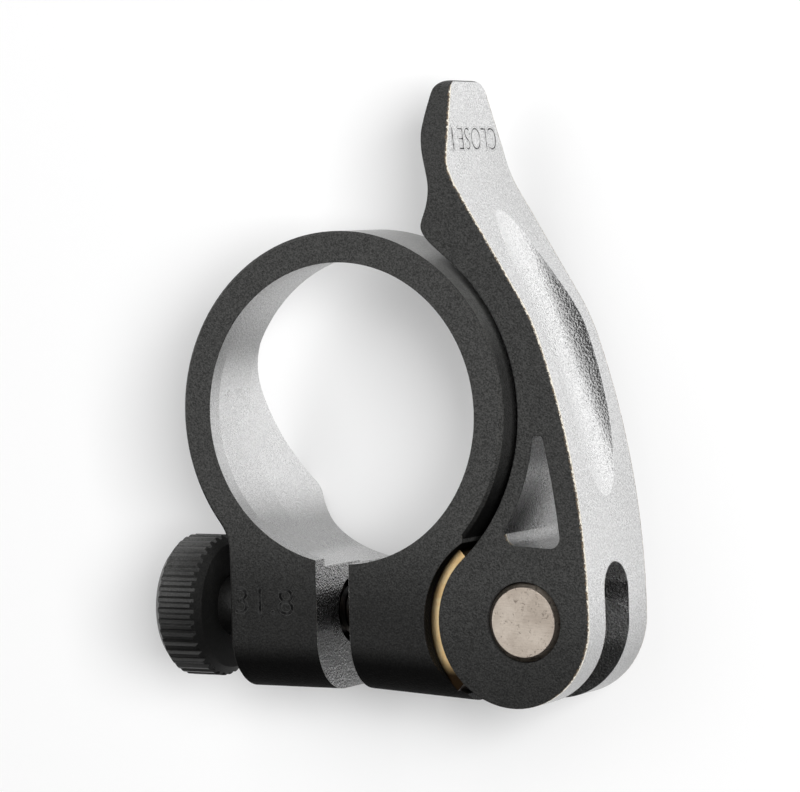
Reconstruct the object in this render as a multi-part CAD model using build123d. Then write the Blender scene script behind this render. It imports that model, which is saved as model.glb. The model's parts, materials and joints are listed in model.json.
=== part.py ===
from build123d import *
import math
import os

# Quick-release seatpost clamp: a split collar, drawn shut by a bolt and an eccentric cam lever.
# The bore runs along Z, the tube's rim stops against the lip at Z 0, and the lugs point along -Y.
# All sizes are in millimetres, all angles in degrees.

# Collar ring
tube_d = 31.8
ring_wall = 2.4
lip_reach = 0.75
lip_h = 1.8
ring_h = 9.2
edge_break = 0.3

# Wings: the ring deepens on both sides towards the lugs
wing_start = 4.6
wing_reach = 9.7
wing_h = 19.6
wing_root = 13.6
wing_sweep_r = 14.0
wing_tip_r = 0.9
wing_root_r = 4.0
wing_relief = 0.2

# Lugs, saw cut and bolt hole
lug_h = 16.0
lug_reach = 7.53
lug_r = 5.5
bolt_drop = 2.3
saw_cut = 3.75
nut_lug_w = 10.25
nut_lug_reach = 7.83
nut_lug_fillet = 5.0
spot_depth = 0.6
spot_d = 9.4
hole_clear = 1.0

# Bolt, barrel pin and thumb nut
bolt_d = 5.0
thread_clear = 0.03
bolt_past_pin = 2.4
bolt_recess = 0.8
bolt_chamfer = 0.5
pin_d = 7.9
pin_clear = 0.05
pin_proud = 0.15
pin_chamfer = 0.5
nut_d = 14.7
nut_l = 5.5
nut_edge = 0.9
nut_flutes = 40
flute_w = 0.8
flute_floor = 0.35
flute_depth = 0.3
neck_d = 6.4
neck_l = 4.8
nut_gap = 0.08
nut_run = 0.05

# Cam, its brass washer and the pin's offset from the cam's centre
cam_r = 8.4
cam_run = 0.05
cam_rise = 1.05
cam_offset = 1.08
cam_offset_angle = 14.4
washer_t = 1.0
washer_w = 13.4
washer_from_angle = 133.0
washer_to_angle = 230.0
seat_tip_angle = 234.0

# Lever arm, seen along the pin
arm_gap = 1.13
lever_w = 13.8
arm_root_t = 8.0
arm_mid_t = 5.75
arm_mid_angle = -5.7
arm_neck_t = 3.5
arm_neck_angle = 28.0
arm_end_x = 12.3
blade_x = 7.7
blade_t = 2.3
belly_h = 0.75
belly_l = 4.6
catch_rise = 4.9
catch_h = 0.9
blade_bend = 9.6
blade_l = 18.6
bend_r = 9.0
neck_r = 20.0
tip_in = 0.4
tip_in_r = 1.1
tip_out_r = 0.4

# Lever tip, seen along X
tip_w = 7.2
tip_taper_l = 8.2
tip_shoulder_r = 9.0
tip_corner_r = 2.4

# Window, fork slot and finger scallop
window_rib = 1.7
window_rim = 2.35
window_top = 0.8
window_l = 11.0
window_top_r = 0.38
window_root_r = 1.1
slot_w = 5.4
slot_web = 1.5
scallop_r = 6.8
scallop_up = 12.2
scallop_down = 18.4

# Shared places
bore_r = tube_d / 2
lip_r = bore_r - lip_reach
ring_r = bore_r + ring_wall
top_z = lip_h
axis_z = top_z - lug_h / 2
ring_low_z = top_z - ring_h
bolt_y = -(ring_r + bolt_drop)
hole_r = bolt_d / 2 + hole_clear
low_y = bolt_y - lug_reach
far_y = low_y - lug_reach
deep = wing_h + lug_h
wide = 4 * ring_r

# The cam lies against the ring's outside, so the arm's inner face is an arc round the bore.
arm_r = ring_r + arm_gap
cam_y = bolt_y + cam_rise
cam_x = math.sqrt((arm_r + cam_r) ** 2 - cam_y ** 2)
cam_angle = math.degrees(math.atan2(cam_y, cam_x))
seat_r = cam_r + cam_run + washer_t
pin_x = cam_x + cam_offset * math.cos(math.radians(cam_offset_angle))
pin_y = cam_y + cam_offset * math.sin(math.radians(cam_offset_angle))

# The offset pin tips the bolt a little: it crosses the hole's axis midway between the lugs' ends.
spot_x = -(saw_cut / 2 + nut_lug_w - spot_depth)
hole_mid_x = (cam_x - seat_r + spot_x) / 2
bolt_tilt = math.degrees(math.atan2(pin_y - bolt_y, pin_x - hole_mid_x))
bolt_dir = Vector(-math.cos(math.radians(bolt_tilt)), -math.sin(math.radians(bolt_tilt)), 0)
along_bolt = Plane(origin=(pin_x, pin_y, axis_z), x_dir=(0, 0, 1), z_dir=bolt_dir)
seat_s = (pin_x - spot_x) / math.cos(math.radians(bolt_tilt))
neck_s = seat_s + nut_gap
head_s = neck_s + neck_l
nut_end_s = head_s + nut_l

upright = (Align.CENTER, Align.CENTER, Align.MIN)
hanging = (Align.CENTER, Align.CENTER, Align.MAX)


def polar(radius, angle):
    """Point at a radius and an angle about the origin."""
    return (radius * math.cos(math.radians(angle)), radius * math.sin(math.radians(angle)))


def corner(sketch, point):
    """The sketch's vertex nearest to a point."""
    return sketch.vertices().sort_by_distance((point[0], point[1], 0))[0]


def rod(radius, start, end):
    """Round bar along the bolt, from one distance past the pin's axis to another."""
    return along_bolt * Pos(0, 0, start) * Cylinder(radius, end - start, align=upright)


# Collar, plan: the ring and both lugs. The nut's lug is square to the bolt.
lean = math.tan(math.radians(bolt_tilt))
root_y = -wing_reach
nut_side_x = -(saw_cut / 2 + nut_lug_w)
nut_top = (nut_side_x - (root_y - bolt_y) * lean, root_y)
nut_low = (nut_side_x + (bolt_y - far_y) * lean, far_y)
seat_tip_x = cam_x + seat_r * math.cos(math.radians(seat_tip_angle))
lug_plan = make_face(Polyline(nut_top, nut_low, (seat_tip_x, far_y), (seat_tip_x, root_y), close=True))
collar_plan = Circle(ring_r) + lug_plan
meet_y = -math.sqrt(ring_r ** 2 - nut_side_x ** 2)
collar_plan = fillet(corner(collar_plan, (nut_side_x, meet_y)), nut_lug_fillet)
collar = Pos(0, 0, top_z) * extrude(collar_plan, amount=-deep)

# Collar, side: a level top, a shallow ring, two wings and a bar for the lugs.
ring_far = ring_r + ring_wall
wing_foot = (wing_start, ring_low_z)
wing_peak = (-wing_reach, top_z - wing_h)
lug_root = (-wing_root, top_z - lug_h)
side = make_face(Polyline(
    (far_y, top_z), (ring_far, top_z), (ring_far, wing_foot[1]), wing_foot, wing_peak, lug_root,
    (far_y, top_z - lug_h), close=True,
))
side = fillet(corner(side, wing_foot), wing_sweep_r)
side = fillet(corner(side, wing_peak), wing_tip_r)
side = fillet(corner(side, lug_root), wing_root_r)
collar = collar & extrude(Plane.YZ * side, amount=wide, both=True)

# Collar, lug ends: rounded front and back, along X on the cam's lug, along the bolt on the nut's.
lug_end = Pos(lug_r, 0) * Rectangle(2 * lug_r, lug_h)
lug_end = fillet(lug_end.vertices().group_by(Axis.X)[0], lug_r)
lug_waste = Pos((lug_r - lug_reach) / 2, 0) * Rectangle(lug_r + lug_reach, 2 * lug_h) - lug_end
square_to_bolt = Pos(0, bolt_y, axis_z) * Rot(0, 0, bolt_tilt)
collar -= Pos(0, low_y, axis_z) * extrude(Plane.YZ * lug_waste, amount=wide)
collar -= square_to_bolt * Pos(0, -nut_lug_reach, 0) * extrude(Plane.YZ * lug_waste, amount=-wide)

# Collar, cuts: bore under the lip, saw cut, bolt hole, cam seat and a spot face for the nut.
# The wings stand a hair clear of the tube, so that the ring alone grips it.
collar -= Cylinder(bore_r, deep, align=hanging)
collar -= Pos(0, 0, ring_low_z) * Cylinder(bore_r + wing_relief, deep, align=hanging)
collar -= Cylinder(lip_r, deep)
collar -= square_to_bolt * Box(saw_cut, 2 * ring_r, 2 * deep)
bolt_hole = Pos(0, bolt_y, axis_z) * Rot(0, 90, 0) * Cylinder(hole_r, wide)
collar -= bolt_hole
collar -= Pos(cam_x, cam_y, 0) * Cylinder(seat_r, 2 * deep)
collar -= rod(spot_d / 2, seat_s, nut_end_s)
rim = collar.edges().filter_by(GeomType.CIRCLE).group_by(Axis.Z)[-1]
collar = chamfer(rim.filter_by(lambda e: abs(e.radius - ring_r) < edge_break), edge_break)

# Cam washer: a curved brass strip that lines the seat, with a hole for the bolt.
washer_ring = Circle(seat_r) - Circle(seat_r - washer_t)
washer_mid_angle = (washer_from_angle + washer_to_angle) / 2
washer_arms = [polar(2 * seat_r, angle) for angle in (washer_from_angle, washer_mid_angle, washer_to_angle)]
washer_plan = washer_ring & make_face(Polyline((0, 0), *washer_arms, close=True))
cam_washer = Pos(cam_x, cam_y, axis_z) * extrude(washer_plan, amount=washer_w / 2, both=True)
cam_washer -= bolt_hole

# Lever, plan: cam eye, inner arc round the ring, thumb catch, blade and outer arc.
eye_in = polar(arm_r, cam_angle)
arm_end_angle = math.degrees(math.acos(arm_end_x / arm_r))
arm_end = polar(arm_r, arm_end_angle)
catch_y = arm_end[1] + catch_rise
tip_y = arm_end[1] + blade_l
bend_y = arm_end[1] + blade_bend
blade_in = (blade_x - tip_in, tip_y)
blade_belly = (blade_x - belly_h, tip_y - belly_l)
waist = (blade_x + catch_h, catch_y + 3 * catch_h)
waist_l = (blade_belly[1] - waist[1]) / 3
blade_out = (blade_x + blade_t / 2, tip_y)
bend = (blade_x + blade_t + catch_h / 2, bend_y)
arm_neck = polar(arm_r + arm_neck_t, arm_neck_angle)
arm_mid = polar(arm_r + arm_mid_t, arm_mid_angle)
arm_root = (cam_x + arm_root_t, cam_y)
eye_place = (cam_x, cam_y)
inner_tangent = Vector(-math.sin(math.radians(arm_end_angle)), math.cos(math.radians(arm_end_angle)))
outer_arc = ThreePointArc(arm_neck, arm_mid, arm_root)
lever_lines = [
    ThreePointArc(eye_in, polar(arm_r, (cam_angle + arm_end_angle) / 2), arm_end),
    Spline(arm_end, (blade_x + catch_h / 4, catch_y - catch_h), waist, tangents=[inner_tangent, (0, 1)]),
    Bezier(waist, (waist[0], waist[1] + waist_l), (blade_belly[0], blade_belly[1] - waist_l), blade_belly),
    TangentArc(blade_belly, blade_in, tangent=(0, 1)),
    Line(blade_in, blade_out),
    Line(blade_out, bend),
    Line(bend, arm_neck),
    outer_arc,
    EllipticalCenterArc(eye_place, arm_root_t, cam_r, start_angle=-90, arc_size=90),
    CenterArc(eye_place, cam_r, start_angle=-90, arc_size=cam_angle - 90),
]
lever_plan = make_face(Curve() + lever_lines)
lever_plan = fillet(corner(lever_plan, bend), bend_r)
lever_plan = fillet(corner(lever_plan, arm_neck), neck_r)
lever_plan = fillet(corner(lever_plan, blade_in), tip_in_r)
lever_plan = fillet(corner(lever_plan, blade_out), tip_out_r)
cam_lever = Pos(0, 0, axis_z) * extrude(lever_plan, amount=lever_w / 2, both=True)

# Lever, side: both flanks close in towards the tip.
tip_start = tip_y - tip_taper_l
half_w = lever_w / 2
half_tip = tip_w / 2
shoulders = [(tip_start, half_w), (tip_start, -half_w)]
tip_corners = [(tip_y, half_tip), (tip_y, -half_tip)]
flanks = Polyline((-wide, half_w), shoulders[0], *tip_corners, shoulders[1], (-wide, -half_w), close=True)
lever_side = make_face(flanks)
for place in shoulders:
    lever_side = fillet(corner(lever_side, place), tip_shoulder_r)
for place in tip_corners:
    lever_side = fillet(corner(lever_side, place), tip_corner_r)
mid_side = Plane(origin=(0, 0, axis_z), x_dir=(0, 1, 0), z_dir=(1, 0, 0))
cam_lever = cam_lever & extrude(mid_side * lever_side, amount=wide, both=True)

# Lever, window: between the inner arc and the outer one, with a rib on each side.
window_low_y = -(window_top + window_l)
outer_disc = Pos(*outer_arc.arc_center) * Circle(outer_arc.radius - window_rim)
window_band = Pos(wide / 2, (-window_top + window_low_y) / 2) * Rectangle(wide, window_l)
window = (outer_disc & window_band) - Circle(arm_r + window_rib)
window = fillet(window.vertices().group_by(Axis.Y)[-1], window_top_r)
window = fillet(window.vertices().group_by(Axis.Y)[0], window_root_r)
cam_lever -= Pos(0, 0, axis_z) * extrude(window, amount=lever_w, both=True)

# Lever, fork: a round-ended slot through the eye, so that the bolt can swing inside it.
slot_top_y = window_low_y - slot_web
slot_end_y = slot_top_y - slot_w / 2
slot_l = slot_end_y - low_y + cam_r
fork = Pos(slot_end_y, 0) * Circle(slot_w / 2)
fork += Pos(slot_end_y - slot_l / 2, 0) * Rectangle(slot_l, slot_w)
cam_lever -= extrude(mid_side * fork, amount=wide, both=True)
cam_lever -= Pos(pin_x, pin_y, axis_z) * Cylinder(pin_d / 2 + pin_clear, 2 * lever_w)

# Lever, scallop: a straight round cutter leaves a spindle shape on the arm's bowed back.
scallop_high = Vector(*arm_neck) + (Vector(*bend) - Vector(*arm_neck)).normalized() * scallop_up
scallop_low = outer_arc.position_at(scallop_down, position_mode=PositionMode.LENGTH)
scallop_dir = (scallop_high - scallop_low).normalized()
scallop_out = Vector(scallop_dir.Y, -scallop_dir.X)
scallop_mid = (scallop_high + scallop_low) / 2 + scallop_out * scallop_r
scallop_place = Plane(origin=(scallop_mid.X, scallop_mid.Y, axis_z), x_dir=(0, 0, 1), z_dir=scallop_dir)
scallop_l = (scallop_high - scallop_low).length + scallop_r
cam_lever -= scallop_place * Cylinder(scallop_r, scallop_l)

# Barrel pin: crosses the fork and takes the bolt's end in a blind hole.
pivot_pin = Cylinder(pin_d / 2, lever_w + 2 * pin_proud)
pivot_pin = chamfer(pivot_pin.edges().filter_by(GeomType.CIRCLE), pin_chamfer)
pivot_pin = Pos(pin_x, pin_y, axis_z) * pivot_pin
pivot_pin -= rod(bolt_d / 2 + thread_clear, -bolt_past_pin, pin_d)

# Bolt: a plain stud from the pin to the nut, with both ends chamfered.
clamp_bolt = Cylinder(bolt_d / 2, nut_end_s - bolt_recess + bolt_past_pin, align=upright)
clamp_bolt = chamfer(clamp_bolt.edges().filter_by(GeomType.CIRCLE), bolt_chamfer)
clamp_bolt = along_bolt * Pos(0, 0, -bolt_past_pin) * clamp_bolt

# Thumb nut: a fluted head on a narrow neck that bears on the spot face.
nut_head = Cylinder(nut_d / 2, nut_l, align=upright)
nut_head = chamfer(nut_head.edges().filter_by(GeomType.CIRCLE), nut_edge)
flute_in = nut_d / 2 - flute_depth
flute_out = nut_d / 2 + flute_depth
flute_mouth = 2 * flute_w - flute_floor
flute_line = Polyline(
    (flute_in, flute_floor / 2), (flute_out, flute_mouth / 2), (flute_out, -flute_mouth / 2),
    (flute_in, -flute_floor / 2), close=True,
)
nut_head -= PolarLocations(0, nut_flutes) * extrude(make_face(flute_line), amount=nut_l)
thumb_nut = along_bolt * Pos(0, 0, head_s) * nut_head
thumb_nut += rod(neck_d / 2, neck_s, head_s)
thumb_nut -= rod(bolt_d / 2 + nut_run, neck_s, nut_end_s)

pieces = {
    "collar": collar,
    "cam_washer": cam_washer,
    "cam_lever": cam_lever,
    "pivot_pin": pivot_pin,
    "clamp_bolt": clamp_bolt,
    "thumb_nut": thumb_nut,
}
os.makedirs("parts", exist_ok=True)
for name, piece in pieces.items():
    export_step(piece, f"parts/{name}.step")
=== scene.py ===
import json
import math

import bpy
import numpy as np
from mathutils import Matrix, Vector


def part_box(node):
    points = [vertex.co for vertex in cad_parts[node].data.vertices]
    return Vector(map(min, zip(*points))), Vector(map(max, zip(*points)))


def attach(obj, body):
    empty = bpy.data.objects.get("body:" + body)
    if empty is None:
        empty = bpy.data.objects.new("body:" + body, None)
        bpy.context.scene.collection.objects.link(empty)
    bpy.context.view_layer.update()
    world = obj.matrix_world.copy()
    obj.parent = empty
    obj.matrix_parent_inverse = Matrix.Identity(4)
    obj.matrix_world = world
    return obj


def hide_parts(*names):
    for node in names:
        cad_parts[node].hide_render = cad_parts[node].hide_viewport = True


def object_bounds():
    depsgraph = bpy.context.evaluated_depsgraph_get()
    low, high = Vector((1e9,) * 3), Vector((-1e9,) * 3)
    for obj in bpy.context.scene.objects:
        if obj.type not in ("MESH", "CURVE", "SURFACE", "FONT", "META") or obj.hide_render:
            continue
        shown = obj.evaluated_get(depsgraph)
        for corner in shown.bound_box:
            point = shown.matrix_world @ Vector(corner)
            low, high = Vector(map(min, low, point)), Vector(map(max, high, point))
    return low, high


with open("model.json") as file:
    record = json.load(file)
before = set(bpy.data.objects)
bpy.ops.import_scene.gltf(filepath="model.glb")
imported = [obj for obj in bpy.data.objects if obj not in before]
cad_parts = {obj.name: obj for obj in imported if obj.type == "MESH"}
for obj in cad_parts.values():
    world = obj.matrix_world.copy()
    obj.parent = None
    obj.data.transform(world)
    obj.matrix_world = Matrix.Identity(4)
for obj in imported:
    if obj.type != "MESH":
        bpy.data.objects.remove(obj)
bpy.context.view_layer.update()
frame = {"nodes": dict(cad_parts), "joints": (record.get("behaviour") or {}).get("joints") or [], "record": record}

# COLLAR
# A split ring with two lugs, turned and milled from aluminium and blasted to an even grain.
# It is anodised black. The bore and the saw cut, which are machined last, stay bare.
# Here and on the other pieces, how light or dark a finish is at a place follows the photograph's
# light. Such tones are painted shading, fixed to the piece, and not differences of finish.
mm = 0.001
joints = {joint["name"]: joint for joint in frame["joints"]}
bolt_dir = np.array(joints["nut_spin"]["axis"], float)
pin_x, pin_y, axis_z = joints["pin_turn"]["pos_m"]
cam_x, cam_y = joints["lever_swing"]["pos_m"][:2]
bore_r = frame["record"]["mounts"][0]["dims"]["r_mm"] * mm
top_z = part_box("collar")[1].z
lug_y = -20.6 * mm
saw_half = 1.875 * mm
bolt_hole_r = 3.5 * mm
ring_r = 18.3 * mm
seat_r = 9.45 * mm
# A finish changes over a few seams' width at the edge of its face.
seam = 0.02 * mm
# Blasted grain: cells to a metre of its relief, its colour, the ragged line between two finishes, and clouds.
grains, flecks, ragged_cells, cloud_cells = 4600.0, 6400.0, 3400.0, 140.0
pit_share = 0.6
fleck_span, fleck_on_black = (0.34, 0.66), 0.5
black_blue = 0.97
tan, tan_share, tan_span = (0.30, 0.21, 0.12, 1.0), 0.7, (0.50, 0.62)
# Cream along the bare side of an edge is a painted highlight.
cream, cream_share, cream_span = (1.0, 0.93, 0.79, 1.0), 0.9, (0.05, 0.5)
bite_share, bite_span = 0.5, (0.84, 0.90)
cloud_span, cloud_bright = (0.3, 0.7), (0.98, 1.02)
black_rough, bare_smoother = 0.50, 0.23
cloud_rough_span, cloud_rough = (0.25, 0.75), (-0.02, 0.02)
# An edge band lies where its rounded normal turns away from the face: cosines of that turn.
edge_turn = (0.995, 0.80)
coat_rough, coat_ior = 0.35, 2.0
collar_edge_r, collar_relief, collar_rim_marks = 0.10 * mm, 0.09 * mm, 0.2
# Black of the lugs and of the ring, and where one passes into the other.
# The lugs' darker black is painted shade.
lug_black, ring_black = 0.015, 0.044
lug_black_y, ring_black_y = -21.0 * mm, -9.0 * mm
# The cam seat and the undersides of the lugs get painted shade.
seat_black = 0.3
under_darker, under_rougher = 0.85, 0.4
# The ring's crown is painted grey: a painted reflection.
crescent_low_y, crescent_high_y, crescent_grey = 5.0 * mm, 15.5 * mm, 0.15
# Faces are told apart by one part of their normal, which goes over such a span.
bore_faces, under_faces, crescent_faces = (0.7, 0.5), (-0.03, -0.5), (0.6, 0.3)
# Bare bore: painted reflections, dim, but bright on the side that faces the lever,
# at the top and at its lowest part.
bore_bright_side, bore_bright_span = (-0.966, -0.259), (0.80, 1.0)
bore_dim, bore_bright = 0.40, 0.88
bore_mid_y, bore_top_y, bore_top_more = 1.0 * mm, 12.0 * mm, 0.56
bore_foot_y, bore_lowest_y, bore_low_more = -14.6 * mm, -15.4 * mm, 0.16
# Bare saw cut: painted shade at the bolt's height, and painted light that grows brighter upwards.
cut_dark_y, cut_dark_half, cut_dark_end, cut_dark = -20.0 * mm, 0.9 * mm, 2.7 * mm, 0.2
cut_low_y, cut_high_y, cut_low, cut_high = -21.5 * mm, -17.5 * mm, 0.40, 0.88
bore_speck, cut_more_speck = 0.16, 0.25
bore_coarse, cut_more_coarse = 0.8, 1.4


def plug(tree, node, inputs):
    """Fills a node's inputs, by the socket's name or number. A socket is linked, and a value is set."""
    for name, value in inputs.items():
        if isinstance(value, bpy.types.NodeSocket):
            tree.links.new(value, node.inputs[name])
        else:
            node.inputs[name].default_value = value


def put(tree, kind, inputs=None, **settings):
    """Adds one shader node, with its settings and inputs."""
    made = tree.nodes.new("ShaderNode" + kind)
    for name, value in settings.items():
        setattr(made, name, value)
    plug(tree, made, inputs or {})
    return made


def calc(tree, operation, *values):
    """One Math node on values or sockets."""
    return put(tree, "Math", dict(enumerate(values)), operation=operation).outputs[0]


def times(tree, product, *factors):
    """Product of values or sockets."""
    for factor in factors:
        product = calc(tree, "MULTIPLY", product, factor)
    return product


def without(tree, value, mask):
    """The value where the mask is 0, and nothing where it is 1."""
    return times(tree, value, calc(tree, "SUBTRACT", 1.0, mask))


def between(tree, share, first, second):
    """Value between two others, by a share from 0 to 1."""
    return calc(tree, "MULTIPLY_ADD", share, calc(tree, "SUBTRACT", second, first), first)


def apart(tree, value, middle):
    """Distance of a value from a middle one."""
    return calc(tree, "ABSOLUTE", calc(tree, "SUBTRACT", value, middle))


def step(tree, value, low, high, first=0.0, last=1.0):
    """Smooth step from first to last while value goes from low to high."""
    inputs = {"Value": value, "From Min": low, "From Max": high, "To Min": first, "To Max": last}
    return put(tree, "MapRange", inputs, interpolation_type="SMOOTHSTEP").outputs["Result"]


def tint(tree, share, first, second):
    """Colour between two others, by a share from 0 to 1."""
    return put(tree, "Mix", {0: share, 6: first, 7: second}, data_type="RGBA").outputs[2]


def noise(tree, place, scale, **inputs):
    """Value of a noise pattern at so many cells a metre."""
    return put(tree, "TexNoise", {"Vector": place, "Scale": scale, **inputs}).outputs[0]


def grey(level):
    """A plain grey."""
    return (level, level, level, 1.0)


def split(tree, socket):
    """X, Y and Z of a vector."""
    return put(tree, "SeparateXYZ", {0: socket}).outputs


def reach(tree, a, b, from_a=0.0, from_b=0.0):
    """Distance in a plane: the root of (a - from_a) squared plus (b - from_b) squared."""
    aside = calc(tree, "SUBTRACT", a, from_a)
    along = calc(tree, "SUBTRACT", b, from_b)
    return calc(tree, "SQRT", calc(tree, "MULTIPLY_ADD", aside, aside, times(tree, along, along)))


def toward(tree, a, b, way):
    """How far a point lies along a direction in a plane: a and b, each times the direction's own part."""
    return calc(tree, "MULTIPLY_ADD", a, way[0], times(tree, b, way[1]))


def new_group(name, inputs, outputs):
    """A shader node group with named sockets. Returns the tree, what it is given and its output node."""
    tree = bpy.data.node_groups.new(name, "ShaderNodeTree")
    for label, default in inputs.items():
        made = tree.interface.new_socket(name=label, in_out="INPUT", socket_type="NodeSocketFloat")
        made.default_value = default
    for label, kind in outputs.items():
        tree.interface.new_socket(name=label, in_out="OUTPUT", socket_type="NodeSocket" + kind)
    return tree, tree.nodes.new("NodeGroupInput").outputs, tree.nodes.new("NodeGroupOutput")


def soft_edge_group():
    """Rounded edges: a Bevel normal, and a mask that is 1 where that normal turns away from the face."""
    tree, given, out = new_group("soft_edge", {"Radius": 0.1 * mm}, {"Edge": "Float", "Normal": "Vector"})
    round_normal = put(tree, "Bevel", {"Radius": given["Radius"]}, samples=4).outputs[0]
    face = put(tree, "NewGeometry").outputs["Normal"]
    turn = put(tree, "VectorMath", {0: round_normal, 1: face}, operation="DOT_PRODUCT").outputs["Value"]
    plug(tree, out, {"Edge": step(tree, turn, *edge_turn), "Normal": round_normal})
    return tree


def blasted_group():
    """Blasted aluminium, black anodised or bare by a mask. Noise and soft cells make the grain.

    The grain gives the height, and part of the colour. Near an edge, noise moves the black across it,
    the bare side next to it is cream, a painted highlight, and the black side turns tan in places.
    """
    tree, given, out = new_group(
        "blasted_aluminium",
        {
            "Bare": 0.0, "Edge": 0.0, "Wear": 0.0, "Black": 0.04, "Silver": 0.8,
            "Speck": 0.22, "Coarse": 1.0, "Dull": 0.0,
        },
        {"Color": "Color", "Roughness": "Float", "Metallic": "Float", "Height": "Float"},
    )
    place = put(tree, "TexCoord").outputs["Object"]
    pebbles = noise(tree, place, grains, Detail=2.0, Roughness=0.55)
    cells = {"Vector": place, "Scale": grains, "Smoothness": 0.6}
    pits = put(tree, "TexVoronoi", cells, feature="SMOOTH_F1").outputs["Distance"]
    grain = calc(tree, "MULTIPLY_ADD", pits, pit_share, pebbles)
    clouds = noise(tree, place, cloud_cells, Detail=3.0)
    fleck = step(tree, noise(tree, place, flecks, Detail=2.0, Roughness=0.7), *fleck_span, -1.0, 1.0)

    ragged = noise(tree, place, ragged_cells, Detail=2.0, Roughness=0.6)
    rim = times(tree, given["Edge"], given["Wear"])
    bite = step(tree, calc(tree, "MULTIPLY_ADD", rim, bite_share, ragged), *bite_span)
    bare = without(tree, given["Bare"], bite)
    tan_spots = times(tree, rim, step(tree, ragged, *tan_span))

    shade = times(tree, given["Black"], calc(tree, "MULTIPLY_ADD", fleck, fleck_on_black, 1.0))
    black = put(tree, "CombineColor", {0: shade, 1: shade, 2: times(tree, shade, black_blue)}).outputs[0]
    black = tint(tree, times(tree, tan_spots, tan_share), black, tan)
    speck = times(tree, fleck, given["Speck"])
    shine = calc(tree, "MULTIPLY_ADD", speck, given["Silver"], given["Silver"])
    shine = times(tree, shine, step(tree, clouds, *cloud_span, *cloud_bright))
    silver = put(tree, "CombineColor", dict.fromkeys(range(3), shine)).outputs[0]
    silver = tint(tree, step(tree, rim, *cream_span, 0.0, cream_share), silver, cream)

    rough = calc(tree, "ADD", step(tree, clouds, *cloud_rough_span, *cloud_rough), given["Dull"])
    rough = calc(tree, "ADD", rough, black_rough)
    plug(tree, out, {
        "Color": tint(tree, bare, black, silver),
        "Roughness": calc(tree, "MULTIPLY_ADD", bare, -bare_smoother, rough),
        "Metallic": bare,
        "Height": times(tree, grain, given["Coarse"]),
    })
    return tree


def new_material(name, constants):
    """A material whose shader's own sockets hold the constants. Returns it, its tree and its shader."""
    made = bpy.data.materials.new(name)
    made.use_nodes = True
    shader = made.node_tree.nodes["Principled BSDF"]
    plug(made.node_tree, shader, constants)
    return made, made.node_tree, shader


def blasted_material(name, edge_r, relief, masks=None, gloss=0.2, **values):
    """Material of the blasted group. The function masks(tree) gives masks for the group's inputs."""
    made, tree, shader = new_material(name, {"Specular IOR Level": gloss})
    edge = put(tree, "Group", {"Radius": edge_r}, node_tree=soft_edge)
    given = {"Edge": edge.outputs["Edge"], **values, **(masks(tree) if masks else {})}
    if "Coat" in given:
        coat = {"Coat Weight": given.pop("Coat"), "Coat Roughness": coat_rough, "Coat IOR": coat_ior}
        plug(tree, shader, coat)
    skin = put(tree, "Group", given, node_tree=blasted)
    bump = {"Distance": relief, "Height": skin.outputs["Height"], "Normal": edge.outputs["Normal"]}
    plug(tree, shader, {
        "Base Color": skin.outputs["Color"],
        "Roughness": skin.outputs["Roughness"],
        "Metallic": skin.outputs["Metallic"],
        "Normal": put(tree, "Bump", bump).outputs[0],
    })
    return made


def collar_masks(tree):
    """Bare on the bore's wall, lip and relief and on the saw cut's coarse faces, not in the bolt hole.

    The black has painted shade under the lugs, which are also duller, and in the cam seat. The ring's
    crown is painted grey, a painted reflection, with a sheen from a coat.
    """
    coords = put(tree, "TexCoord")
    x, y, z = split(tree, coords.outputs["Object"])
    along, up = split(tree, coords.outputs["Normal"])[1:]
    from_axis = reach(tree, x, y)
    bore = step(tree, from_axis, bore_r + 20 * seam, bore_r + 15 * seam)
    bore = times(tree, bore, step(tree, up, *bore_faces))
    across = toward(tree, x, calc(tree, "SUBTRACT", y, lug_y), bolt_dir[:2].tolist())
    cut = step(tree, calc(tree, "ABSOLUTE", across), saw_half + 2 * seam, saw_half + seam)
    cut = times(tree, cut, calc(tree, "LESS_THAN", y, 0.0))
    hole = step(tree, reach(tree, y, z, lug_y, axis_z), bolt_hole_r + seam, bolt_hole_r + 3 * seam)

    seat = step(tree, reach(tree, x, y, cam_x, cam_y), seat_r + seam, seat_r + 3 * seam, seat_black, 1.0)
    under = step(tree, along, *under_faces)
    black = times(tree, step(tree, y, lug_black_y, ring_black_y, lug_black, ring_black), seat)
    black = times(tree, black, calc(tree, "MULTIPLY_ADD", under, -under_darker, 1.0))
    crescent = calc(tree, "GREATER_THAN", from_axis, ring_r - seam)
    crescent = times(tree, crescent, step(tree, up, *crescent_faces))
    crescent = times(tree, crescent, step(tree, y, crescent_low_y, crescent_high_y))

    bright_side = toward(tree, x, y, [part / bore_r for part in bore_bright_side])
    bore_tone = step(tree, bright_side, *bore_bright_span, bore_dim, bore_bright)
    for low_y, high_y, more in (
        (bore_mid_y, bore_top_y, bore_top_more), (bore_foot_y, bore_lowest_y, bore_low_more)
    ):
        bore_tone = calc(tree, "ADD", bore_tone, step(tree, y, low_y, high_y, 0.0, more))
    cut_tone = step(tree, apart(tree, y, cut_dark_y), cut_dark_half, cut_dark_end, cut_dark, 1.0)
    cut_tone = times(tree, cut_tone, step(tree, y, cut_low_y, cut_high_y, cut_low, cut_high))
    return {
        "Bare": times(tree, calc(tree, "MAXIMUM", bore, cut), hole),
        "Black": calc(tree, "MULTIPLY_ADD", crescent, crescent_grey, black),
        "Silver": between(tree, cut, bore_tone, cut_tone),
        "Dull": times(tree, under, under_rougher),
        "Speck": calc(tree, "MULTIPLY_ADD", cut, cut_more_speck, bore_speck),
        "Coarse": calc(tree, "MULTIPLY_ADD", cut, cut_more_coarse, bore_coarse),
        "Coat": crescent,
    }


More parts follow.
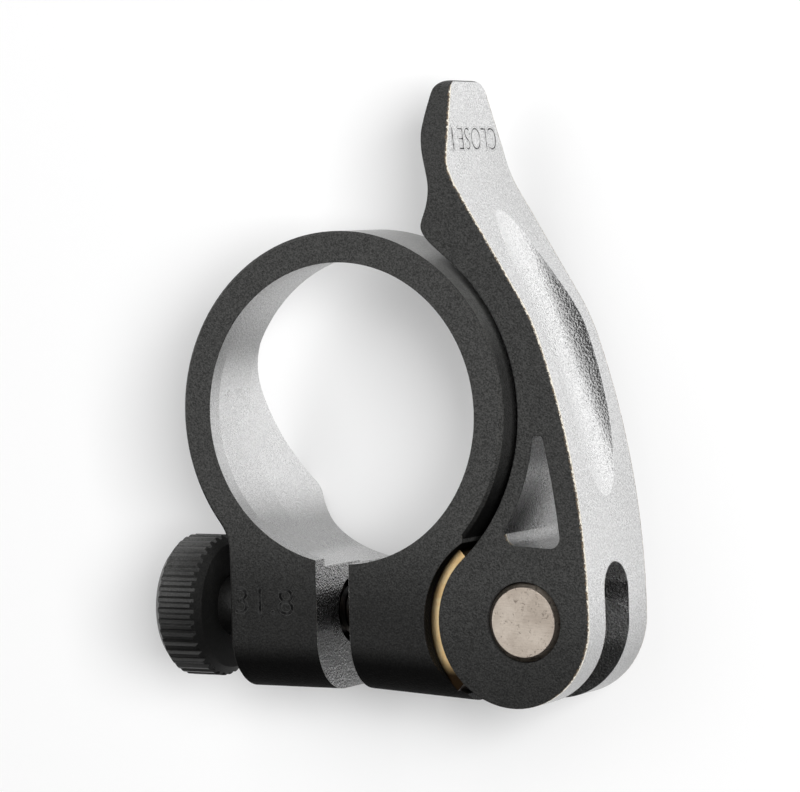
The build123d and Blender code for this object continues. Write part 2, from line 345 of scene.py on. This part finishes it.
def dress(node, material):
    """Gives a CAD node its material, as its only one."""
    skin = frame["nodes"][node].data.materials
    skin.clear()
    skin.append(material)


soft_edge = soft_edge_group()
blasted = blasted_group()
collar_skin = blasted_material(
    "anodised_collar", collar_edge_r, collar_relief, collar_masks, Wear=collar_rim_marks
)
dress("collar", collar_skin)

# SIZE MARK
# The clamp's size in millimetres, stamped into the face of the nut's lug before anodising.
# Each digit has a floor, painted dark as the shade of a sunk floor, and a low burr round it.
size_mark_w, size_mark_h = 6.9 * mm, 2.75 * mm
size_mark_mid = (-8.05 * mm, -19.65 * mm, top_z)
stamp_lift = 0.004 * mm
stroke_more = 0.025
burr_w, burr_h = 0.07 * mm, 0.01 * mm
burr_sunk, burr_points = 0.2, 7
burr_edge_r, burr_relief = 0.02 * mm, 0.03 * mm
stamp_cells, stamp_span, stamp_rough = 1900.0, (0.42, 0.62), (0.5, 0.7)
# The letter floor's two levels are painted shade of a sunk letter.
black_floor, black_burr = (0.004, 0.030), 0.026


def outlines(words, steps=5):
    """Closed outlines of words, with each cubic of a letter at even steps, and the words as a filled mesh."""
    data = bpy.data.curves.new("words", "FONT")
    data.body = words
    data.offset = stroke_more
    text = bpy.data.objects.new("words", data)
    bpy.context.scene.collection.objects.link(text)
    bpy.context.view_layer.update()
    letters = text.to_curve(bpy.context.evaluated_depsgraph_get())
    share = (np.arange(steps) / steps)[:, None]
    rings = []
    for spline in letters.splines:
        count = len(spline.bezier_points)
        knots = {}
        for label in ("co", "handle_left", "handle_right"):
            flat = np.zeros(3 * count)
            spline.bezier_points.foreach_get(label, flat)
            knots[label] = flat.reshape(count, 1, 3)
        ahead, to = np.roll(knots["handle_left"], -1, 0), np.roll(knots["co"], -1, 0)
        ring = (1 - share) ** 3 * knots["co"] + 3 * share * (1 - share) ** 2 * knots["handle_right"]
        ring = ring + 3 * share ** 2 * (1 - share) * ahead + share ** 3 * to
        rings.append(ring.reshape(-1, 3)[:, :2])
    text.to_curve_clear()
    filled = bpy.data.meshes.new_from_object(text.evaluated_get(bpy.context.evaluated_depsgraph_get()))
    bpy.data.objects.remove(text)
    return rings, filled


def new_piece(name, mesh, material, body):
    """Object at the origin for a finished mesh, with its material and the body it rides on."""
    made = bpy.data.objects.new(name, mesh)
    bpy.context.scene.collection.objects.link(made)
    mesh.materials.append(material)
    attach(made, body)
    return made


def stamp(name, words, size, middle, along, upward, floor_skin, burr_skin, body):
    """Words stamped on a flat face. The floor is the filled letters, a hair above the face.

    The burr is a half-round profile carried along each outline: a point lies at the outline plus
    burr_w times the cosine along the outline's normal, and burr_h times the sine above the face.
    The angle starts and ends burr_sunk past the half round, so that the burr's foot is in the face.
    """
    rings, filled = outlines(words)
    along, upward = np.array(along, float), np.array(upward, float)
    out = np.cross(along, upward)
    points = np.concatenate(rings)
    low, high = points.min(0), points.max(0)
    scale = np.array(size) / (high - low)

    def placed(flat, height):
        """Points on the face: the outline's middle goes to the mark's middle, and height goes outwards."""
        across = (flat - (low + high) / 2) * scale
        on_face = across[..., :1] * along + across[..., 1:2] * upward
        return np.array(middle) + on_face + height[..., None] * out

    corners = np.zeros(3 * len(filled.vertices))
    filled.vertices.foreach_get("co", corners)
    corners = corners.reshape(-1, 3)[:, :2]
    filled.vertices.foreach_set("co", placed(corners, np.full(len(corners), stamp_lift)).ravel())
    filled.update()
    filled.materials.clear()
    new_piece(name + "_floor", filled, floor_skin, body)

    sweep = np.linspace(-burr_sunk, np.pi + burr_sunk, burr_points)
    verts, faces, first = [], [], 0
    for ring in rings:
        way = (np.roll(ring, -1, 0) - np.roll(ring, 1, 0)) * scale
        way = way / np.maximum(np.linalg.norm(way, axis=1, keepdims=True), 1e-12)
        aside = np.stack([way[:, 1], -way[:, 0]], axis=1)
        flat = ring[:, None] + burr_w * np.cos(sweep)[None, :, None] * aside[:, None] / scale
        rise = np.broadcast_to(burr_h * np.sin(sweep), flat.shape[:2])
        rows, columns = flat.shape[:2]
        row = np.arange(rows)[:, None] * columns
        after = np.roll(row, -1, 0)
        column = np.arange(columns - 1)
        quads = np.stack([row + column, after + column, after + column + 1, row + column + 1], -1)
        verts.append(placed(flat, rise).reshape(-1, 3))
        faces.append(quads.reshape(-1, 4) + first)
        first += rows * columns
    burr = bpy.data.meshes.new(name + "_burr")
    burr.from_pydata(np.concatenate(verts).tolist(), [], np.concatenate(faces).tolist())
    burr.polygons.foreach_set("use_smooth", np.ones(len(burr.polygons), bool))
    new_piece(name + "_burr", burr, burr_skin, body)


def stamped_material(name, levels, metallic, gloss):
    """Floor of a stamped letter: a dull, uneven grey between two levels, dark as painted shade of a sunk letter.
    """
    made, tree, shader = new_material(name, {"Metallic": metallic, "Specular IOR Level": gloss})
    place = put(tree, "TexCoord").outputs["Object"]
    uneven = step(tree, noise(tree, place, stamp_cells, Detail=3.0), *stamp_span)
    plug(tree, shader, {
        "Base Color": tint(tree, uneven, grey(levels[0]), grey(levels[1])),
        "Roughness": step(tree, uneven, 0.0, 1.0, *stamp_rough),
    })
    return made


stamp(
    "size_mark", "31.8", (size_mark_w, size_mark_h), size_mark_mid,
    -bolt_dir, np.cross((0.0, 0.0, 1.0), -bolt_dir),
    stamped_material("black_stamp", black_floor, metallic=0.0, gloss=0.05),
    blasted_material("black_burr", burr_edge_r, burr_relief, Black=black_burr), "collar",
)

# CAM WASHER
# A thin brass strip, rolled to the cam seat's curve, with a hole for the bolt.
# Its near edge is bright. Its faces, its rim and its lower end are painted dark, after the photograph.
# The dark edge tone and the near black at the lower end are painted shade.
brass_dark, brass_light = (0.93, 0.65, 0.32, 1.0), (1.0, 0.79, 0.46, 1.0)
brass_edge = (0.14, 0.08, 0.03, 1.0)
brass_low_shade = (0.02, 0.012, 0.006, 1.0)
brass_edge_r, brass_edge_share = 0.12 * mm, 0.6
brass_line_cells, brass_line_h = (9000.0, 9000.0, 500.0), 0.008 * mm
brass_patch_cells, brass_patch_span = 1100.0, (0.35, 0.7)
line_span, brass_rough = (0.2, 0.8), (0.28, 0.46)
brass_margin_in, brass_margin_out, brass_margin_share = 0.22 * mm, 0.04 * mm, 0.85
brass_faces, brass_face_share = (0.3, 0.6), 0.75
low_shade_from_y, low_shade_to_y = -23.2 * mm, -25.4 * mm


def washer_material():
    """Brass with fine rolling lines along Z, with painted shade on its faces, round its rim and low down."""
    made, tree, shader = new_material("rolled_brass", {"Metallic": 1.0})
    coords = put(tree, "TexCoord")
    place = coords.outputs["Object"]
    x, y = split(tree, place)[:2]
    up = split(tree, coords.outputs["Normal"])[2]
    lines = put(tree, "Mapping", {"Vector": place, "Scale": brass_line_cells}).outputs[0]
    grain = noise(tree, lines, 1.0, Detail=3.0)
    edge = put(tree, "Group", {"Radius": brass_edge_r}, node_tree=soft_edge)
    patches = step(tree, noise(tree, place, brass_patch_cells, Detail=3.0), *brass_patch_span)
    gold = tint(tree, patches, brass_dark, brass_light)
    gold = tint(tree, times(tree, edge.outputs["Edge"], brass_edge_share), gold, brass_edge)
    face = step(tree, up, *brass_faces, brass_face_share, 0.0)
    from_cam = reach(tree, x, y, cam_x, cam_y)
    margin_from, margin_to = seat_r - brass_margin_in, seat_r - brass_margin_out
    margin = step(tree, from_cam, margin_from, margin_to, 0.0, brass_margin_share)
    gold = tint(tree, calc(tree, "MAXIMUM", face, margin), gold, brass_edge)
    gold = tint(tree, step(tree, y, low_shade_from_y, low_shade_to_y), gold, brass_low_shade)
    height = times(tree, grain, brass_line_h)
    bump = put(tree, "Bump", {"Distance": 1.0, "Height": height, "Normal": edge.outputs["Normal"]})
    plug(tree, shader, {
        "Base Color": gold,
        "Roughness": step(tree, grain, *line_span, *brass_rough),
        "Normal": bump.outputs[0],
    })
    return made


dress("cam_washer", washer_material())

# CLAMP BOLT
# A steel stud, cold drawn and chemically blackened, screwed into the barrel pin.
# Its far end has a rolled M5 thread for the thumb nut, which runs out into the plain shank.
bolt_r = 2.5 * mm
bolt_chamfer = 0.5 * mm
bolt_start = -2.4 * mm
bolt_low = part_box("clamp_bolt")[0]
bolt_end = (pin_x - bolt_low.x - (bolt_r - bolt_chamfer) * abs(bolt_dir[1])) / abs(bolt_dir[0])
thread_from = 21.0 * mm
thread_fade = 2.4 * mm
thread_pitch = 0.8 * mm
thread_depth = 0.49 * mm
thread_flank = 1.25
steel_black, steel_bloom = grey(0.03), (0.06, 0.05, 0.04, 1.0)
drawn_line_cells, drawn_line_h = (300.0, 6000.0, 6000.0), 0.005 * mm
bloom_cells, bloom_span = 700.0, (0.4, 0.75)
steel_rough = (0.34, 0.52)


def round_mesh(name, grid):
    """Closed mesh of a grid: its columns run round the axis and meet, and its end rows are capped."""
    rows, columns = grid.shape[:2]
    first = np.arange(columns)
    after = (first + 1) % columns
    low = np.arange(rows - 1)[:, None] * columns
    quads = np.stack([low + first, low + after, low + after + columns, low + first + columns], axis=-1)
    faces = quads.reshape(-1, 4).tolist()
    faces.append(first[::-1].tolist())
    faces.append((first + (rows - 1) * columns).tolist())
    mesh = bpy.data.meshes.new(name)
    mesh.from_pydata(grid.reshape(-1, 3).tolist(), [], faces)
    smooth = np.ones(len(faces), bool)
    smooth[-2:] = False
    mesh.polygons.foreach_set("use_smooth", smooth)
    return mesh


def threaded_stud(rows=520, columns=40):
    """Stud as a surface of turn and length: radius = bolt_r minus a clipped triangle wave of the helix phase.

    The phase is length / pitch minus turn. The wave's height fades in at the run-out, and both ends
    lose the chamfer's height over the chamfer's length.
    """
    turn = np.arange(columns) / columns
    shank = np.linspace(bolt_start + bolt_chamfer, thread_from, rows // 20)[:-1]
    length = np.concatenate([[bolt_start], shank, np.linspace(thread_from, bolt_end, rows)])[:, None]
    phase = (length / thread_pitch - turn) % 1.0
    wave = np.clip(thread_flank - np.abs(2 * thread_flank * phase - thread_flank), 0.0, 1.0)
    fade = np.clip((length - thread_from) / thread_fade, 0.0, 1.0)
    from_end = np.minimum(length - bolt_start, bolt_end - length)
    radius = bolt_r - thread_depth * wave * fade
    radius = np.minimum(radius, bolt_r - np.clip(bolt_chamfer - from_end, 0.0, None))
    upward = np.array([0.0, 0.0, 1.0])
    aside = np.cross(bolt_dir, upward)
    spoke = np.cos(2 * np.pi * turn)[:, None] * upward + np.sin(2 * np.pi * turn)[:, None] * aside
    centre = np.array([pin_x, pin_y, axis_z]) + length[..., None] * bolt_dir
    return centre + radius[..., None] * spoke


def stud_material():
    """Blackened steel: near black, with drawn lines along the bolt and a faint brown bloom."""
    made, tree, shader = new_material("blackened_steel", {"Metallic": 1.0})
    place = put(tree, "TexCoord").outputs["Object"]
    drawn = put(tree, "Mapping", {"Vector": place, "Scale": drawn_line_cells}).outputs[0]
    lines = noise(tree, drawn, 1.0, Detail=3.0)
    bloom = step(tree, noise(tree, place, bloom_cells, Detail=3.0), *bloom_span)
    bump = put(tree, "Bump", {"Distance": 1.0, "Height": times(tree, lines, drawn_line_h)})
    plug(tree, shader, {
        "Base Color": tint(tree, bloom, steel_black, steel_bloom),
        "Roughness": step(tree, lines, *line_span, *steel_rough),
        "Normal": bump.outputs[0],
    })
    return made


stud_mesh = round_mesh("threaded_stud", threaded_stud())
stud = new_piece("threaded_stud", stud_mesh, stud_material(), "skewer")
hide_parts("clamp_bolt")

# BARREL PIN
# A steel barrel, turned and nickel plated, that crosses the lever's fork and holds the bolt.
# Its faced ends have a chamfer, and show fine scratches and pits. Its hidden middle has painted shade.
nickel_dark, nickel_light = (0.53, 0.455, 0.385, 1.0), (0.72, 0.635, 0.55, 1.0)
nickel_pit = (0.22, 0.18, 0.15, 1.0)
pin_middle_shade = (0.10, 0.095, 0.09, 1.0)
pin_edge_r = 0.1 * mm
pin_bright_half, pin_shade_half = 6.2 * mm, 5.2 * mm
scratch_cells, scratch_h = (700.0, 7000.0, 2000.0), 0.006 * mm
worm_cells, nickel_cloud_cells = 1700.0, 330.0
scratch_share, worm_share, nickel_span = 0.6, 0.5, (0.80, 1.30)
nickel_pit_span, nickel_pit_share = (0.40, 0.33), 0.7
scratch_span, nickel_rough = (0.25, 0.75), (0.30, 0.46)


def pin_material():
    """Nickel-plated steel, warm in tone, with fine scratches across the end and small dark pits."""
    made, tree, shader = new_material("nickel_pin", {"Metallic": 1.0})
    place = put(tree, "TexCoord").outputs["Object"]
    drawn = put(tree, "Mapping", {"Vector": place, "Scale": scratch_cells}).outputs[0]
    scratch = noise(tree, drawn, 1.0, Detail=4.0)
    worm = noise(tree, place, worm_cells, Detail=4.0, Distortion=1.5)
    clouds = noise(tree, place, nickel_cloud_cells, Detail=2.0)
    edge = put(tree, "Group", {"Radius": pin_edge_r}, node_tree=soft_edge)
    blend = calc(tree, "MULTIPLY_ADD", worm, worm_share, clouds)
    blend = calc(tree, "MULTIPLY_ADD", scratch, scratch_share, blend)
    plate = tint(tree, step(tree, blend, *nickel_span), nickel_dark, nickel_light)
    plate = tint(tree, step(tree, worm, *nickel_pit_span, 0.0, nickel_pit_share), plate, nickel_pit)
    depth = apart(tree, split(tree, place)[2], axis_z)
    plate = tint(tree, step(tree, depth, pin_bright_half, pin_shade_half), plate, pin_middle_shade)
    height = times(tree, calc(tree, "ADD", scratch, worm), scratch_h)
    bump = put(tree, "Bump", {"Distance": 1.0, "Height": height, "Normal": edge.outputs["Normal"]})
    plug(tree, shader, {
        "Base Color": plate,
        "Roughness": step(tree, scratch, *scratch_span, *nickel_rough),
        "Normal": bump.outputs[0],
    })
    return made


dress("pivot_pin", pin_material())

# CAM LEVER
# A forged aluminium lever with an eccentric eye, blasted all over and anodised black.
# Its bowed back, window and fork are finished afterwards and stay bare.
lever_low, lever_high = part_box("cam_lever")
lever_half = (lever_high.z - lever_low.z) / 2
tip_y, tip_half = lever_high.y, 3.6 * mm
taper_y = tip_y - 8.2 * mm
tip_end_l = 1.5 * mm
window_rib_r, window_rib_deep = 20.2 * mm, 1.1 * mm
window_top, window_low = -0.7 * mm, -11.9 * mm
fork_end_y, fork_half = -16.0 * mm, 2.7 * mm
eye_hole_r = 4.0 * mm
# The scallop is part of a cylinder that lies across this direction, at this distance from the bore's axis.
scallop_r = 6.8 * mm
scallop_out, scallop_far = (0.905259, 0.424861), 27.566 * mm
scallop_high = 22.0 * mm
# Edge band, cream on its bare side as a painted highlight: a wide band on the back, which the far flank
# has less of, and a narrow one on the near flank.
rim_band_w, far_less, flank_rim_w = 0.8 * mm, 6.0, 0.2 * mm
outer_edge_r = 24.3 * mm
side_faces, back_faces, rib_faces = (0.86, 0.74), (0.12, 0.26), (0.3, 0.6)
rim_faces, tip_faces = (0.1, 0.3), (0.55, 0.8)
lever_edge_r, lever_relief, lever_rim_marks = 0.2 * mm, 0.09 * mm, 1.0
# The black is painted darker towards the eye's lower end: painted shade.
eye_black, arm_black = 0.020, 0.038
eye_black_y, arm_black_y = -28.0 * mm, -13.0 * mm
# Bare back: painted shade where it bows under the eye, and a painted highlight and painted shade on the
# two sides of the scallop.
eye_silver, arm_silver = 0.46, 0.75
eye_silver_y, arm_silver_y = -25.0 * mm, -15.0 * mm
scoop_bright, scoop_mid, scoop_dark = 1.0, 0.92, 0.58
scoop_mid_faces, scoop_dark_faces = (-0.25, 0.10), (0.30, 0.56)
# Window's rib: painted brighter than the back, a painted reflection, with painted shade towards its top
# and its lower, near corner.
rib_brighter = 0.25
rib_mid_y, rib_low_y, rib_mid_shade, rib_low_shade = -3.0 * mm, -9.0 * mm, 0.1, 0.92
rib_deep_z, rib_near_z = -9.0 * mm, -1.0 * mm
rib_upper_y, rib_top_y, rib_top_shade = -5.5 * mm, -2.5 * mm, 0.6
# Fork's floor: painted highlight at one height, painted shade above and below, and a painted highlight
# again at its rounded end.
fork_bright_y, fork_bright_half, fork_dim_half = -19.4 * mm, 0.8 * mm, 3.2 * mm
fork_bright, fork_dim = 1.0, 0.36
fork_lip_low_y, fork_lip_y = -15.9 * mm, -15.3 * mm
inner_coarser, back_speck, inner_more_speck = 1.4, 0.22, 0.2


def lever_masks(tree):
    """Bare on faces that look outwards, along +X, in the window and in the fork, and black on the rest.

    The edge band, with its painted highlight, lies on the outer faces, measured from the flanks,
    which close in towards the tip.
    """
    coords = put(tree, "TexCoord")
    x, y, z = split(tree, coords.outputs["Object"])
    out, along, up = split(tree, coords.outputs["Normal"])
    from_axis = reach(tree, x, y)
    aside = calc(tree, "SUBTRACT", z, axis_z)

    beside = step(tree, calc(tree, "ABSOLUTE", up), *side_faces)
    back = step(tree, out, *back_faces)
    level = times(tree, calc(tree, "GREATER_THAN", y, window_low), calc(tree, "LESS_THAN", y, window_top))
    window = times(tree, level, calc(tree, "GREATER_THAN", from_axis, window_rib_r))
    rib = calc(tree, "LESS_THAN", from_axis, window_rib_r + window_rib_deep)
    rib = times(tree, rib, level, step(tree, out, *rib_faces))
    hole = step(tree, reach(tree, x, y, pin_x, pin_y), eye_hole_r + 5 * seam, eye_hole_r + 10 * seam)
    outside = times(tree, beside, calc(tree, "MAXIMUM", back, window), hole)
    past_end = calc(tree, "MAXIMUM", calc(tree, "SUBTRACT", y, fork_end_y), 0.0)
    fork = step(tree, reach(tree, past_end, aside), fork_half + 3 * seam, fork_half + 1.5 * seam)
    fork = times(tree, fork, calc(tree, "GREATER_THAN", x, pin_x))
    inner = calc(tree, "MAXIMUM", rib, fork)

    taper = {"Value": y, "From Min": taper_y, "From Max": tip_y, "To Min": lever_half, "To Max": tip_half}
    half = put(tree, "MapRange", taper).outputs["Result"]
    from_far = times(tree, calc(tree, "ADD", half, aside), far_less)
    inward = calc(tree, "MINIMUM", calc(tree, "SUBTRACT", half, aside), from_far)
    edge = without(tree, times(tree, step(tree, inward, rim_band_w, 0.0), outside, back), rib)
    rounded = put(tree, "Group", {"Radius": flank_rim_w}, node_tree=soft_edge)
    turned = put(
        tree, "VectorTransform", {"Vector": rounded.outputs["Normal"]},
        vector_type="NORMAL", convert_from="WORLD", convert_to="OBJECT",
    )
    outward = step(tree, split(tree, turned.outputs[0])[0], *rim_faces)
    near = calc(tree, "GREATER_THAN", aside, 0.0)
    flank = times(tree, rounded.outputs["Edge"], outward, near, hole)
    flank = times(tree, flank, calc(tree, "GREATER_THAN", from_axis, outer_edge_r))
    tip_end = calc(tree, "GREATER_THAN", y, tip_y - tip_end_l)
    outside = without(tree, outside, times(tree, step(tree, along, *tip_faces), tip_end))

    silver = step(tree, y, eye_silver_y, arm_silver_y, eye_silver, arm_silver)
    from_scoop = reach(tree, toward(tree, x, y, scallop_out), aside, scallop_far)
    scoop = step(tree, from_scoop, scallop_r + 3 * seam, scallop_r + 1.5 * seam)
    scoop = times(tree, scoop, calc(tree, "LESS_THAN", y, scallop_high))
    scoop_tone = step(tree, up, *scoop_mid_faces, scoop_bright, scoop_mid)
    scoop_tone = times(tree, scoop_tone, step(tree, up, *scoop_dark_faces, 1.0, scoop_dark))
    silver = between(tree, scoop, silver, scoop_tone)
    shaded = step(tree, y, rib_mid_y, rib_low_y, rib_mid_shade, rib_low_shade)
    shaded = times(tree, shaded, step(tree, z, rib_deep_z, rib_near_z))
    shaded = calc(tree, "MAXIMUM", shaded, step(tree, y, rib_upper_y, rib_top_y, 0.0, rib_top_shade))
    silver = calc(tree, "MULTIPLY_ADD", rib, rib_brighter, silver)
    silver = without(tree, silver, times(tree, rib, shaded))
    fork_tone = apart(tree, y, fork_bright_y)
    fork_tone = step(tree, fork_tone, fork_bright_half, fork_dim_half, fork_bright, fork_dim)
    lip_tone = step(tree, y, fork_lip_low_y, fork_lip_y, 0.0, fork_bright - fork_dim)
    return {
        "Bare": calc(tree, "MAXIMUM", outside, fork),
        "Edge": calc(tree, "MAXIMUM", edge, flank),
        "Black": step(tree, y, eye_black_y, arm_black_y, eye_black, arm_black),
        "Silver": between(tree, fork, silver, calc(tree, "ADD", fork_tone, lip_tone)),
        "Coarse": calc(tree, "MULTIPLY_ADD", inner, inner_coarser, 1.0),
        "Speck": calc(tree, "MULTIPLY_ADD", inner, inner_more_speck, back_speck),
    }


lever_skin = blasted_material("two_tone_lever", lever_edge_r, lever_relief, lever_masks, Wear=lever_rim_marks)
dress("cam_lever", lever_skin)

# CLOSE MARK
# The word that tells which way the lever shuts, stamped across its tip, with a plain line after it.
# It reads from the rider's side, so its letters stand with their feet towards the tip.
blade_out = (0.9846, 0.1749)
blade_down = np.array([blade_out[1], -blade_out[0], 0.0])
blade_mid = np.array([8.85 * mm, 33.64 * mm, axis_z])
lever_across = np.array([0.0, 0.0, 1.0])
close_w, close_h = 8.3 * mm, 2.35 * mm
close_drop = 5.85 * mm
close_shift = -0.95 * mm
line_w, line_shift = 0.35 * mm, 4.35 * mm
# The letter floor's two levels are painted shade of a sunk letter.
silver_floor = (0.02, 0.36)
silver_stamp = stamped_material("silver_stamp", silver_floor, metallic=0.5, gloss=0.2)
silver_burr = blasted_material("silver_burr", burr_edge_r, burr_relief, Bare=1.0)
for word_name, word, word_w, shift in (
    ("close_mark", "CLOSE", close_w, close_shift), ("close_line", "I", line_w, line_shift)
):
    word_mid = blade_mid + close_drop * blade_down + shift * lever_across
    stamp(
        word_name, word, (word_w, close_h), word_mid, lever_across, blade_down, silver_stamp, silver_burr,
        "lever",
    )

# THUMB NUT
# A turned aluminium nut with straight flutes for the fingers and a narrow neck, anodised black.
# It runs on the bolt's thread and bears on the spot face of the other lug.
nut_end_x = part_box("thumb_nut")[0].x
# The nut's black is painted lighter towards the outer end and on top, and darker underneath: painted light.
nut_dark_x, nut_lit_x = nut_end_x + 4.5 * mm, nut_end_x + 1.0 * mm
nut_dark, nut_lit = 0.010, 0.022
nut_under_y, nut_top_y, nut_under, nut_top = -26.0 * mm, -14.0 * mm, 0.6, 2.6
shoulder_faces = (0.2, 0.5)
shoulder_darker, shoulder_rougher, nut_smoother = 0.4, 0.3, 0.08
nut_edge_r, nut_relief, nut_gloss = 0.1 * mm, 0.02 * mm, 0.5


def nut_masks(tree):
    """Painted light at the outer end and on top, and painted shade on the duller shoulder by the lug."""
    coords = put(tree, "TexCoord")
    x, y = split(tree, coords.outputs["Object"])[:2]
    out = split(tree, coords.outputs["Normal"])[0]
    shoulder = step(tree, out, *shoulder_faces)
    black = step(tree, x, nut_dark_x, nut_lit_x, nut_dark, nut_lit)
    black = times(tree, black, step(tree, y, nut_under_y, nut_top_y, nut_under, nut_top))
    return {
        "Black": times(tree, black, calc(tree, "MULTIPLY_ADD", shoulder, -shoulder_darker, 1.0)),
        "Dull": calc(tree, "MULTIPLY_ADD", shoulder, shoulder_rougher, -nut_smoother),
    }


dress("thumb_nut", blasted_material("anodised_nut", nut_edge_r, nut_relief, nut_masks, gloss=nut_gloss))

# STAGE
# A plain pale floor at the wings' tips, a soft key lamp from the lever's side, two soft lamps above,
# and a camera at the photograph's angle: a long lens that looks down on the collar's lipped face.
# The key lamp doesn't show in reflections.
floor_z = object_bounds()[0].z
floor_half = 1.5
floor_white, floor_glow = 0.93, 0.25
room_near_y, room_far_y, room_dark = -45 * mm, -85 * mm, 0.1
clear_from, clear_to, clear_glow = 8 * mm, 27 * mm, 0.5
floor_mesh = bpy.data.meshes.new("floor")
corners = [(a * floor_half, b * floor_half, floor_z) for a, b in ((-1, -1), (1, -1), (1, 1), (-1, 1))]
floor_mesh.from_pydata(corners, [], [(0, 1, 2, 3)])
floor = bpy.data.objects.new("floor", floor_mesh)
bpy.context.scene.collection.objects.link(floor)


def floor_material():
    """White floor that keeps shadows: part of what the camera and reflections see glows, the rest is lit.

    On the lever's side the camera sees more of the glow. Beyond the lugs' side, reflections see a dark room.
    """
    made, tree, shader = new_material("white_floor", {})
    tree.nodes.remove(shader)
    path = put(tree, "LightPath").outputs
    seen = calc(tree, "MAXIMUM", path["Is Glossy Ray"], path["Is Transmission Ray"])
    seen = calc(tree, "MAXIMUM", seen, path["Is Camera Ray"])
    lit = put(tree, "BsdfDiffuse", {"Color": grey(floor_white)}).outputs[0]
    white = put(tree, "Emission", {"Color": grey(1.0), "Strength": 1.0}).outputs[0]
    x, y = split(tree, put(tree, "TexCoord").outputs["Object"])[:2]
    clear = times(tree, step(tree, x, clear_from, clear_to, 0.0, clear_glow), path["Is Camera Ray"])
    glow = calc(tree, "MULTIPLY_ADD", seen, floor_glow, clear)
    mixed = put(tree, "MixShader", {0: glow, 1: lit, 2: white}).outputs[0]
    hidden = without(tree, step(tree, y, room_near_y, room_far_y), path["Is Camera Ray"])
    dark = put(tree, "BsdfDiffuse", {"Color": grey(room_dark)}).outputs[0]
    mixed = put(tree, "MixShader", {0: hidden, 1: mixed, 2: dark}).outputs[0]
    plug(tree, tree.nodes["Material Output"], {"Surface": mixed})
    return made


floor_mesh.materials.append(floor_material())


def area_lamp(name, direction, distance, size, watts):
    """Square soft lamp that looks at the object's middle from a direction."""
    data = bpy.data.lights.new(name, "AREA")
    data.size = size
    data.energy = watts
    made = bpy.data.objects.new(name, data)
    bpy.context.scene.collection.objects.link(made)
    way = Vector(direction).normalized()
    made.location = way * distance
    made.rotation_euler = way.to_track_quat("Z", "Y").to_euler()
    return made


key = area_lamp("key_lamp", (0.65, 0.15, 0.746), distance=0.80, size=0.30, watts=6.0)
key.visible_glossy = False
area_lamp("top_lamp", (-0.25, 0.50, 0.83), distance=0.80, size=0.70, watts=2.7)
area_lamp("front_lamp", (-0.45, -0.05, 0.89), distance=1.00, size=0.80, watts=1.5)
world_level = 0.06
world = bpy.data.worlds.new("studio")
bpy.context.scene.world = world
world.use_nodes = True
sky = world.node_tree.nodes["Background"]
plug(world.node_tree, sky, {"Color": grey(1.0), "Strength": world_level})

camera_yaw, camera_pitch, camera_roll = (math.radians(angle) for angle in (28.30, 4.41, 1.83))
camera_aside, camera_rise, camera_far = -6.07 * mm, -1.77 * mm, 400.72 * mm
sensor_w, focal_l, clip_near = 36.0, 180.0, 0.01
level = Vector((math.cos(camera_yaw), 0.0, -math.sin(camera_yaw)))
back = math.cos(camera_pitch) * Vector((math.sin(camera_yaw), 0.0, math.cos(camera_yaw)))
back.y = math.sin(camera_pitch)
rise = back.cross(level)
right = math.cos(camera_roll) * level + math.sin(camera_roll) * rise
up = math.cos(camera_roll) * rise - math.sin(camera_roll) * level
lens = bpy.data.cameras.new("camera")
lens.sensor_width = sensor_w
lens.lens = focal_l
lens.clip_start = clip_near
camera = bpy.data.objects.new("camera", lens)
bpy.context.scene.collection.objects.link(camera)
axes = Matrix((right, up, back)).transposed().to_4x4()
stand = back * camera_far - right * camera_aside - up * camera_rise + Vector((0.0, 0.0, top_z))
camera.matrix_world = Matrix.Translation(stand) @ axes
bpy.context.scene.camera = camera
bpy.context.scene.view_settings.view_transform = "Standard"
